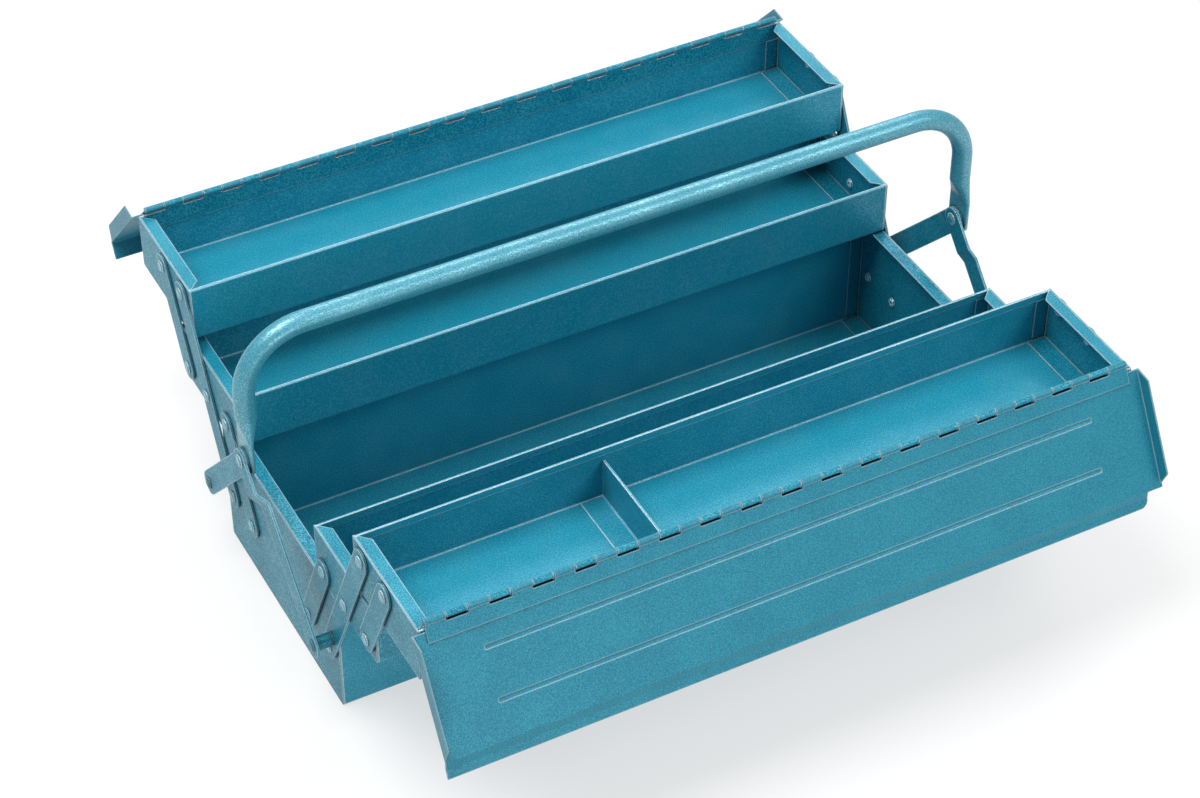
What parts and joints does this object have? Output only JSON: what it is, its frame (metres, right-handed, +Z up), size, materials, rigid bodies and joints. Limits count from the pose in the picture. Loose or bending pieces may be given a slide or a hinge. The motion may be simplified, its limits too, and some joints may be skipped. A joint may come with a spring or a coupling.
{
  "type": "cantilever tool box",
  "caption": "Open steel cantilever tool box: trays on folding strap links above a base, hinged lids and a tubular carrying handle.",
  "frame": {"origin": "centre of the base's underside", "axes": "+X along the box to its right end, -Y to the front, +Z up; rest pose is fully open with the handle upright"},
  "size_m": [0.5766, 0.5761, 0.2661],
  "materials": {
    "hammertone_paint": "satin",
    "handle_paint": "satin",
    "pin_steel": "satin"
  },
  "bodies": {
    "base": {"base_channel": "hammertone_paint", "base_end_left": "hammertone_paint", "base_end_right": "hammertone_paint", "base_rivets": "hammertone_paint"},
    "front_long_links": {"front_long_link_left": "hammertone_paint", "front_long_link_right": "hammertone_paint", "front_arm_studs": "hammertone_paint"},
    "front_inner_links": {"front_inner_link_left": "hammertone_paint", "front_inner_link_right": "hammertone_paint"},
    "front_middle_tray": {"front_middle_channel": "hammertone_paint", "front_middle_end_left": "hammertone_paint", "front_middle_end_right": "hammertone_paint", "front_middle_rivets": "hammertone_paint"},
    "front_outer_links": {"front_outer_link_left": "hammertone_paint", "front_outer_link_right": "hammertone_paint"},
    "front_upper_tray": {"front_upper_channel": "hammertone_paint", "front_upper_end_left": "hammertone_paint", "front_upper_end_right": "hammertone_paint", "front_upper_rivets": "hammertone_paint", "front_hinge_tray_leaf": "hammertone_paint", "front_hinge_pin": "pin_steel", "tray_divider": "hammertone_paint"},
    "front_arms": {"front_arm_left": "hammertone_paint", "front_arm_right": "hammertone_paint", "handle_rivets": "handle_paint"},
    "front_lid_with_leaf": {"front_lid": "hammertone_paint", "front_hinge_lid_leaf": "hammertone_paint"},
    "rear_long_links": {"rear_long_link_left": "hammertone_paint", "rear_long_link_right": "hammertone_paint", "rear_arm_studs": "hammertone_paint"},
    "rear_inner_links": {"rear_inner_link_left": "hammertone_paint", "rear_inner_link_right": "hammertone_paint"},
    "rear_middle_tray": {"rear_middle_channel": "hammertone_paint", "rear_middle_end_left": "hammertone_paint", "rear_middle_end_right": "hammertone_paint", "rear_middle_rivets": "hammertone_paint"},
    "rear_outer_links": {"rear_outer_link_left": "hammertone_paint", "rear_outer_link_right": "hammertone_paint"},
    "rear_upper_tray": {"rear_upper_channel": "hammertone_paint", "rear_upper_end_left": "hammertone_paint", "rear_upper_end_right": "hammertone_paint", "rear_upper_rivets": "hammertone_paint", "rear_hinge_tray_leaf": "hammertone_paint", "rear_hinge_pin": "pin_steel"},
    "rear_arms": {"rear_arm_left": "hammertone_paint", "rear_arm_right": "hammertone_paint"},
    "rear_lid_with_leaf": {"rear_lid": "hammertone_paint", "rear_hinge_lid_leaf": "hammertone_paint"},
    "handle": {"handle_tube": "handle_paint"}
  },
  "joints": [
    {"name": "front_long_link_swing", "type": "hinge", "parent": "base", "child": "front_long_links", "pos_m": [0, -0.0841, 0.0475], "axis": [-1, 0, 0], "range_deg": [0, 52.2]},
    {"name": "front_inner_link_swing", "type": "hinge", "parent": "base", "child": "front_inner_links", "pos_m": [0, -0.0492, 0.0475], "axis": [-1, 0, 0], "range_deg": [0, 52.2]},
    {"name": "front_middle_tray_turn", "type": "hinge", "parent": "front_long_links", "child": "front_middle_tray", "pos_m": [0, -0.11771, 0.11611], "axis": [-1, 0, 0], "range_deg": [-52.2, 0]},
    {"name": "front_outer_link_swing", "type": "hinge", "parent": "front_middle_tray", "child": "front_outer_links", "pos_m": [0, -0.15261, 0.11611], "axis": [-1, 0, 0], "range_deg": [0, 52.2]},
    {"name": "front_upper_tray_turn", "type": "hinge", "parent": "front_long_links", "child": "front_upper_tray", "pos_m": [0, -0.15132, 0.18472], "axis": [-1, 0, 0], "range_deg": [-52.2, 0]},
    {"name": "front_arm_swing", "type": "hinge", "parent": "front_long_links", "child": "front_arms", "pos_m": [0, -0.0907, 0.06097], "axis": [-1, 0, 0], "range_deg": [-60, 0]},
    {"name": "front_lid_swing", "type": "hinge", "parent": "front_upper_tray", "child": "front_lid_with_leaf", "pos_m": [0, -0.23222, 0.2], "axis": [-1, 0, 0], "range_deg": [0, 239.4]},
    {"name": "rear_long_link_swing", "type": "hinge", "parent": "base", "child": "rear_long_links", "pos_m": [0, 0.0841, 0.0475], "axis": [1, 0, 0], "range_deg": [0, 52.2]},
    {"name": "rear_inner_link_swing", "type": "hinge", "parent": "base", "child": "rear_inner_links", "pos_m": [0, 0.0492, 0.0475], "axis": [1, 0, 0], "range_deg": [0, 52.2]},
    {"name": "rear_middle_tray_turn", "type": "hinge", "parent": "rear_long_links", "child": "rear_middle_tray", "pos_m": [0, 0.11771, 0.11611], "axis": [1, 0, 0], "range_deg": [-52.2, 0]},
    {"name": "rear_outer_link_swing", "type": "hinge", "parent": "rear_middle_tray", "child": "rear_outer_links", "pos_m": [0, 0.15261, 0.11611], "axis": [1, 0, 0], "range_deg": [0, 52.2]},
    {"name": "rear_upper_tray_turn", "type": "hinge", "parent": "rear_long_links", "child": "rear_upper_tray", "pos_m": [0, 0.15132, 0.18472], "axis": [1, 0, 0], "range_deg": [-52.2, 0]},
    {"name": "rear_arm_swing", "type": "hinge", "parent": "rear_long_links", "child": "rear_arms", "pos_m": [0, 0.0907, 0.06097], "axis": [1, 0, 0], "range_deg": [-60, 0]},
    {"name": "rear_lid_swing", "type": "hinge", "parent": "rear_upper_tray", "child": "rear_lid_with_leaf", "pos_m": [0, 0.23222, 0.2], "axis": [1, 0, 0], "range_deg": [-12, 227]},
    {"name": "handle_swing", "type": "hinge", "parent": "front_arms", "child": "handle", "pos_m": [0, 0, 0.1576], "axis": [1, 0, 0], "range_deg": [-58, 50]}
  ],
  "couplings": [
    {"joint": "front_inner_link_swing", "follows": "front_long_link_swing", "ratio": 1},
    {"joint": "front_middle_tray_turn", "follows": "front_long_link_swing", "ratio": -1},
    {"joint": "front_outer_link_swing", "follows": "front_long_link_swing", "ratio": 1},
    {"joint": "front_upper_tray_turn", "follows": "front_long_link_swing", "ratio": -1},
    {"joint": "front_arm_swing", "follows": "front_long_link_swing", "ratio": -1.1417},
    {"joint": "rear_long_link_swing", "follows": "front_long_link_swing", "ratio": 1},
    {"joint": "rear_inner_link_swing", "follows": "front_long_link_swing", "ratio": 1},
    {"joint": "rear_middle_tray_turn", "follows": "front_long_link_swing", "ratio": -1},
    {"joint": "rear_outer_link_swing", "follows": "front_long_link_swing", "ratio": 1},
    {"joint": "rear_upper_tray_turn", "follows": "front_long_link_swing", "ratio": -1},
    {"joint": "rear_arm_swing", "follows": "front_long_link_swing", "ratio": -1.1417}
  ]
}
